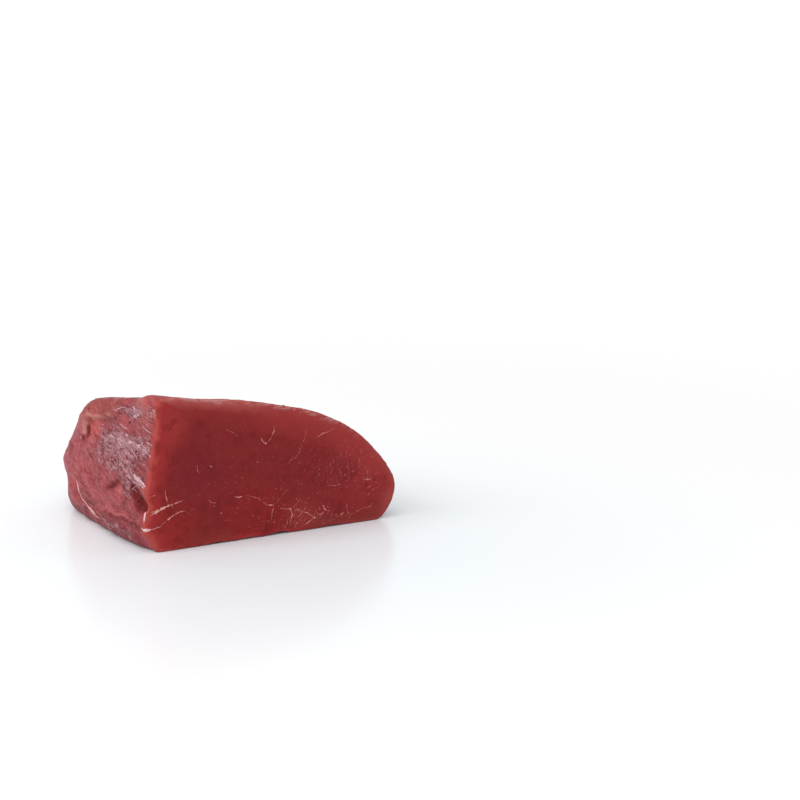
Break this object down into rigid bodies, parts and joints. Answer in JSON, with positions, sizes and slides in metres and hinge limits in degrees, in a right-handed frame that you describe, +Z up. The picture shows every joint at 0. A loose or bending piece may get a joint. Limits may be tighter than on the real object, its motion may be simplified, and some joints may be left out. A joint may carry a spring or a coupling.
{
  "type": "block of salt-cured raw beef",
  "caption": "Block of salt-cured lean beef, one whole muscle with a flat knife cut across the grain, torn silvery membrane on its side and a long slope to a blunt tip.",
  "frame": {"origin": "middle of the bounding box's underside, on the table that the block rests on", "axes": "+X along the knife cut, from its tall end to its low tip; +Y from the cut into the meat; +Z up; the cut faces -Y"},
  "size_m": [0.1932, 0.1516, 0.1021],
  "materials": {
    "lean_meat": "moist satin, deep red where it is cut and duller pink outside",
    "silverskin": "thin wet membrane, pale lilac",
    "fat": "satin, creamy pink",
    "pepper": "matte, crushed"
  },
  "bodies": {
    "root": {"meat_block": "lean_meat"}
  },
  "joints": []
}
